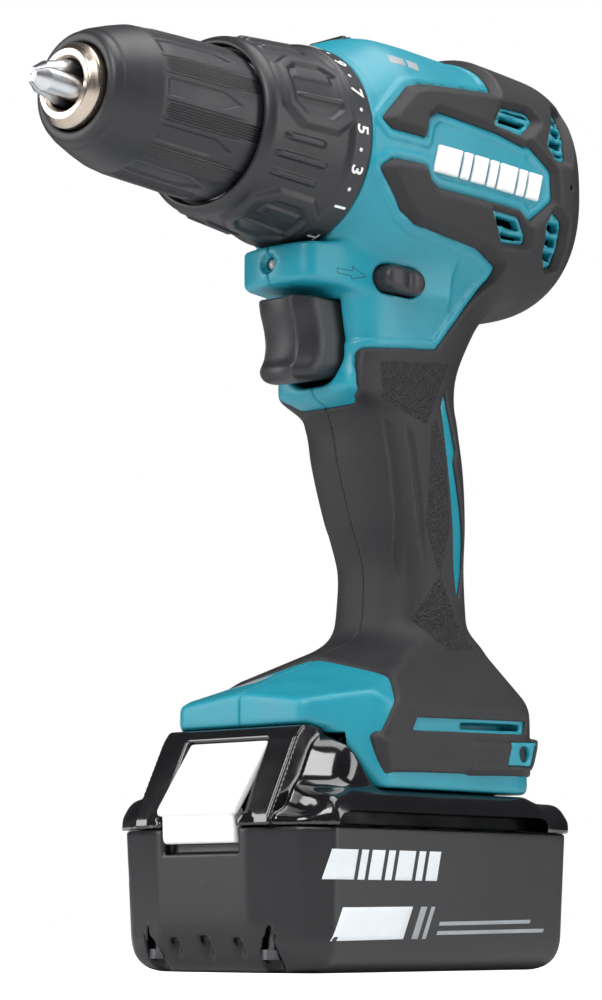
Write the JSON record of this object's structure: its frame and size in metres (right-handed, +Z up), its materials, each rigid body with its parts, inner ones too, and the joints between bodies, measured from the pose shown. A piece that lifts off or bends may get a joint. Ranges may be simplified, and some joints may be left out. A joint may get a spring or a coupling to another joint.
{
  "type": "cordless drill",
  "caption": "Pistol-grip cordless hammer driver drill with a keyless three-jaw chuck, a clutch ring, a raked soft grip and a slide-on battery.",
  "frame": {"origin": "centre of the flat face under the battery, where the tool stands", "axes": "-X towards the chuck nose, -Y the tool's left side, +Z up"},
  "size_m": [0.1909, 0.075, 0.2588],
  "materials": {
    "teal_plastic": "moulded, satin",
    "soft_grip": "fine-grained matt elastomer",
    "black_plastic": "moulded, matt",
    "gloss_black": "polished mould",
    "white_plastic": "moulded, satin",
    "grey_plastic": "moulded, matt",
    "steel": "ground",
    "dark_steel": "blackened",
    "warm_steel": "turned and polished",
    "cast_alloy": "die cast",
    "copper": "enamelled winding",
    "contact_brass": "plated",
    "lens": "frosted",
    "board": "laminate",
    "cell_wrap": "shrink film"
  },
  "bodies": {
    "tool": {"housing_left": "teal_plastic", "housing_right": "teal_plastic", "overmould_left": "soft_grip", "overmould_right": "soft_grip", "side_marks": "white_plastic", "housing_screws": "dark_steel", "hook_insert_left": "steel", "hook_insert_right": "steel", "led_lens": "lens", "switch_body": "black_plastic", "gear_case": "cast_alloy", "gear_case_cover": "cast_alloy", "ring_gear_rear": "steel", "spindle_bearings": "steel", "clutch_washer": "steel", "hammer_cam_fixed": "dark_steel", "stator": "dark_steel", "windings": "copper", "motor_bearings": "steel", "controller_board": "board", "terminal_block": "black_plastic", "clutch_spring": "steel", "trigger_spring": "steel"},
    "spindle_group": {"spindle": "steel", "chuck_body": "dark_steel", "nose_ring": "warm_steel", "hammer_cam_turning": "dark_steel"},
    "sleeve_group": {"chuck_sleeve": "black_plastic", "jaw_nut": "dark_steel"},
    "jaw_1_body": {"jaw_1": "steel"},
    "jaw_2_body": {"jaw_2": "steel"},
    "jaw_3_body": {"jaw_3": "steel"},
    "clutch_ring_body": {"clutch_ring": "black_plastic"},
    "retainer_body": {"spring_retainer": "steel"},
    "carrier_body": {"carrier_rear": "steel"},
    "motor_group": {"rotor": "dark_steel", "motor_pinion": "dark_steel", "fan": "grey_plastic"},
    "speed_group": {"speed_selector": "black_plastic", "shift_wire": "steel", "ring_gear_front": "steel"},
    "trigger_group": {"trigger": "black_plastic", "trigger_plunger": "grey_plastic"},
    "selector_body": {"direction_selector": "black_plastic"},
    "battery": {"battery_lower_case": "gloss_black", "battery_upper_case": "gloss_black", "cells": "cell_wrap", "battery_board": "board", "battery_terminals": "contact_brass", "battery_screws": "dark_steel", "button_spring": "steel"},
    "release_body": {"release_button": "white_plastic"},
    "gauge_body": {"gauge_button": "grey_plastic"},
    "planet_front_1_body": {"planet_front_1": "steel"},
    "planet_front_2_body": {"planet_front_2": "steel"},
    "planet_front_3_body": {"planet_front_3": "steel"},
    "planet_rear_1_body": {"planet_rear_1": "steel"},
    "planet_rear_2_body": {"planet_rear_2": "steel"},
    "planet_rear_3_body": {"planet_rear_3": "steel"}
  },
  "joints": [
    {"name": "spindle_spin", "type": "hinge", "parent": "tool", "child": "spindle_group", "pos_m": [-0.08, 0, 0.224], "axis": [1, 0, 0], "continuous": true},
    {"name": "carrier_spin", "type": "hinge", "parent": "tool", "child": "carrier_body", "pos_m": [-0.0015, 0, 0.224], "axis": [1, 0, 0], "continuous": true},
    {"name": "motor_spin", "type": "hinge", "parent": "tool", "child": "motor_group", "pos_m": [0.0285, 0, 0.224], "axis": [1, 0, 0], "continuous": true},
    {"name": "planet_front_1_spin", "type": "hinge", "parent": "spindle_group", "child": "planet_front_1_body", "pos_m": [-0.0095, 0, 0.21275], "axis": [1, 0, 0], "continuous": true},
    {"name": "planet_front_2_spin", "type": "hinge", "parent": "spindle_group", "child": "planet_front_2_body", "pos_m": [-0.0095, 0.00974, 0.22962], "axis": [1, 0, 0], "continuous": true},
    {"name": "planet_front_3_spin", "type": "hinge", "parent": "spindle_group", "child": "planet_front_3_body", "pos_m": [-0.0095, -0.00974, 0.22962], "axis": [1, 0, 0], "continuous": true},
    {"name": "planet_rear_1_spin", "type": "hinge", "parent": "carrier_body", "child": "planet_rear_1_body", "pos_m": [0.002, 0, 0.21275], "axis": [1, 0, 0], "continuous": true},
    {"name": "planet_rear_2_spin", "type": "hinge", "parent": "carrier_body", "child": "planet_rear_2_body", "pos_m": [0.002, 0.00974, 0.22962], "axis": [1, 0, 0], "continuous": true},
    {"name": "planet_rear_3_spin", "type": "hinge", "parent": "carrier_body", "child": "planet_rear_3_body", "pos_m": [0.002, -0.00974, 0.22962], "axis": [1, 0, 0], "continuous": true},
    {"name": "sleeve_turn", "type": "hinge", "parent": "spindle_group", "child": "sleeve_group", "pos_m": [-0.085, 0, 0.224], "axis": [1, 0, 0], "range_deg": [0, 1800]},
    {"name": "jaw_1_slide", "type": "slide", "parent": "spindle_group", "child": "jaw_1_body", "axis": [0.9659, 0, 0.2588], "range_m": [0, 0.025]},
    {"name": "jaw_2_slide", "type": "slide", "parent": "spindle_group", "child": "jaw_2_body", "axis": [0.9659, -0.2241, -0.1294], "range_m": [0, 0.025]},
    {"name": "jaw_3_slide", "type": "slide", "parent": "spindle_group", "child": "jaw_3_body", "axis": [0.9659, 0.2241, -0.1294], "range_m": [0, 0.025]},
    {"name": "clutch_turn", "type": "hinge", "parent": "tool", "child": "clutch_ring_body", "pos_m": [-0.04, 0, 0.224], "axis": [1, 0, 0], "range_deg": [0, 300]},
    {"name": "retainer_slide", "type": "slide", "parent": "tool", "child": "retainer_body", "axis": [1, 0, 0], "range_m": [0, 0.005], "deforming": ["clutch_spring"]},
    {"name": "speed_shift", "type": "slide", "parent": "tool", "child": "speed_group", "axis": [1, 0, 0], "range_m": [0, 0.0035]},
    {"name": "trigger_pull", "type": "slide", "parent": "tool", "child": "trigger_group", "axis": [1, 0, 0], "range_m": [0, 0.0065], "stiffness_N_per_m": 900, "springref_m": -0.004, "deforming": ["trigger_spring"]},
    {"name": "selector_push", "type": "slide", "parent": "tool", "child": "selector_body", "axis": [0, 1, 0], "range_m": [-0.0035, 0.0035]},
    {"name": "battery_slide", "type": "slide", "parent": "tool", "child": "battery", "axis": [-1, 0, 0], "range_m": [0, 0.1]},
    {"name": "release_press", "type": "slide", "parent": "battery", "child": "release_body", "axis": [0, 0, -1], "range_m": [0, 0.004], "stiffness_N_per_m": 800, "springref_m": -0.003, "deforming": ["button_spring"]},
    {"name": "gauge_press", "type": "slide", "parent": "battery", "child": "gauge_body", "axis": [-1, 0, 0], "range_m": [0, 0.0008], "stiffness_N_per_m": 1500, "springref_m": -0.0004}
  ],
  "couplings": [
    {"joint": "carrier_spin", "follows": "spindle_spin", "ratio": 5},
    {"joint": "motor_spin", "follows": "spindle_spin", "ratio": 25},
    {"joint": "planet_front_1_spin", "follows": "spindle_spin", "ratio": -2.6667},
    {"joint": "planet_front_2_spin", "follows": "spindle_spin", "ratio": -2.6667},
    {"joint": "planet_front_3_spin", "follows": "spindle_spin", "ratio": -2.6667},
    {"joint": "planet_rear_1_spin", "follows": "spindle_spin", "ratio": -13.333},
    {"joint": "planet_rear_2_spin", "follows": "spindle_spin", "ratio": -13.333},
    {"joint": "planet_rear_3_spin", "follows": "spindle_spin", "ratio": -13.333},
    {"joint": "jaw_1_slide", "follows": "sleeve_turn", "m_per_rad": 0.00079577},
    {"joint": "jaw_2_slide", "follows": "sleeve_turn", "m_per_rad": 0.00079577},
    {"joint": "jaw_3_slide", "follows": "sleeve_turn", "m_per_rad": 0.00079577},
    {"joint": "retainer_slide", "follows": "clutch_turn", "m_per_rad": 0.00093583}
  ]
}
